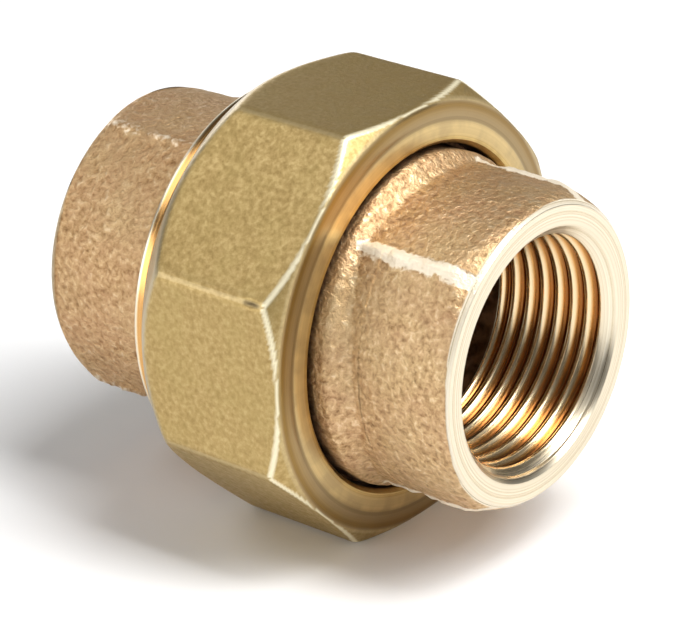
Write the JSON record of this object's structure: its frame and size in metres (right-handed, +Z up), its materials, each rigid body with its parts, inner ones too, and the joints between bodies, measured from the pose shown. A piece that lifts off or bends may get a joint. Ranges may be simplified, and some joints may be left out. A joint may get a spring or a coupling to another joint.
{
  "type": "pipe union",
  "caption": "Bronze pipe union: an eight-sided brass nut draws a collared tail piece onto the ground seat of a threaded head piece, with a female pipe thread at each end.",
  "frame": {"origin": "middle of the closed union on the pipe axis, halfway between its two mouths", "axes": "+X along the pipe axis from the head piece to the tail piece; +Z up, square to the nut's top flat; the nut rests on its bottom flat"},
  "size_m": [0.0632, 0.056, 0.056],
  "materials": {
    "cast_bronze": "sand-cast bronze with machined mouths, threads and seat",
    "nut_brass": "dull yellow brass with a fine cast grain and bright machined edges"
  },
  "bodies": {
    "head": {"head_piece": "cast_bronze"},
    "tail": {"tail_piece": "cast_bronze"},
    "nut": {"union_nut": "nut_brass"}
  },
  "joints": [
    {"name": "tail_slide", "type": "slide", "parent": "head", "child": "tail", "axis": [1, 0, 0], "range_m": [0, 0.0116]},
    {"name": "nut_turn", "type": "hinge", "parent": "tail", "child": "nut", "pos_m": [0.0017, 0, 0], "axis": [1, 0, 0], "range_deg": [0, 1800]}
  ],
  "couplings": [
    {"joint": "tail_slide", "follows": "nut_turn", "m_per_rad": 0.00036749}
  ]
}
